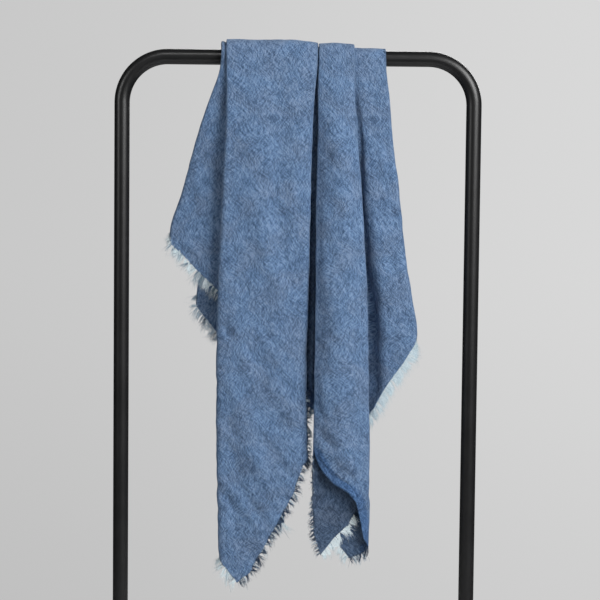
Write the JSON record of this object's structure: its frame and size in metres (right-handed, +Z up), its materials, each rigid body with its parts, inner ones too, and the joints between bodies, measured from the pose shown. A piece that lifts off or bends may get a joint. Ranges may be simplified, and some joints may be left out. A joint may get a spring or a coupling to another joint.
{
  "type": "foulard on garment rack",
  "caption": "Blue crinkled foulard with short frayed edges, folded into layers and hung over the rail of a black steel-tube garment rack.",
  "frame": {"origin": "centre of the rack's footprint, on the floor that the two feet stand on", "axes": "+Z up along the legs, +X to the right along the rail, -Y towards the front, where the cloth hangs lowest"},
  "size_m": [0.619, 0.4, 1.2677],
  "materials": {
    "black_steel": "satin black powder coat",
    "blue_cloth": "matt crinkled cloth, heathered blue with fine pale streaks on the bias",
    "pale_yarn": "loose pale blue yarn ends",
    "dark_yarn": "loose navy yarn ends"
  },
  "bodies": {
    "root": {"rack_frame": "black_steel", "foot_left": "black_steel", "foot_right": "black_steel", "left_fold": "blue_cloth", "middle_fold": "blue_cloth", "left_flap": "blue_cloth", "right_flap": "blue_cloth", "inner_layer": "blue_cloth", "left_fold_tip_fringe": "pale_yarn", "left_fold_hem_fringe": "dark_yarn", "left_fold_inside_fringe": "dark_yarn", "left_fold_back_fringe": "pale_yarn", "middle_inner_dark_fringe": "dark_yarn", "middle_inner_pale_fringe": "pale_yarn", "middle_outer_dark_fringe": "dark_yarn", "middle_outer_pale_fringe": "pale_yarn", "middle_fold_back_fringe": "dark_yarn", "left_flap_fringe": "pale_yarn", "left_flap_back_fringe": "dark_yarn", "right_flap_fringe": "pale_yarn", "right_flap_back_fringe": "dark_yarn"}
  },
  "joints": []
}
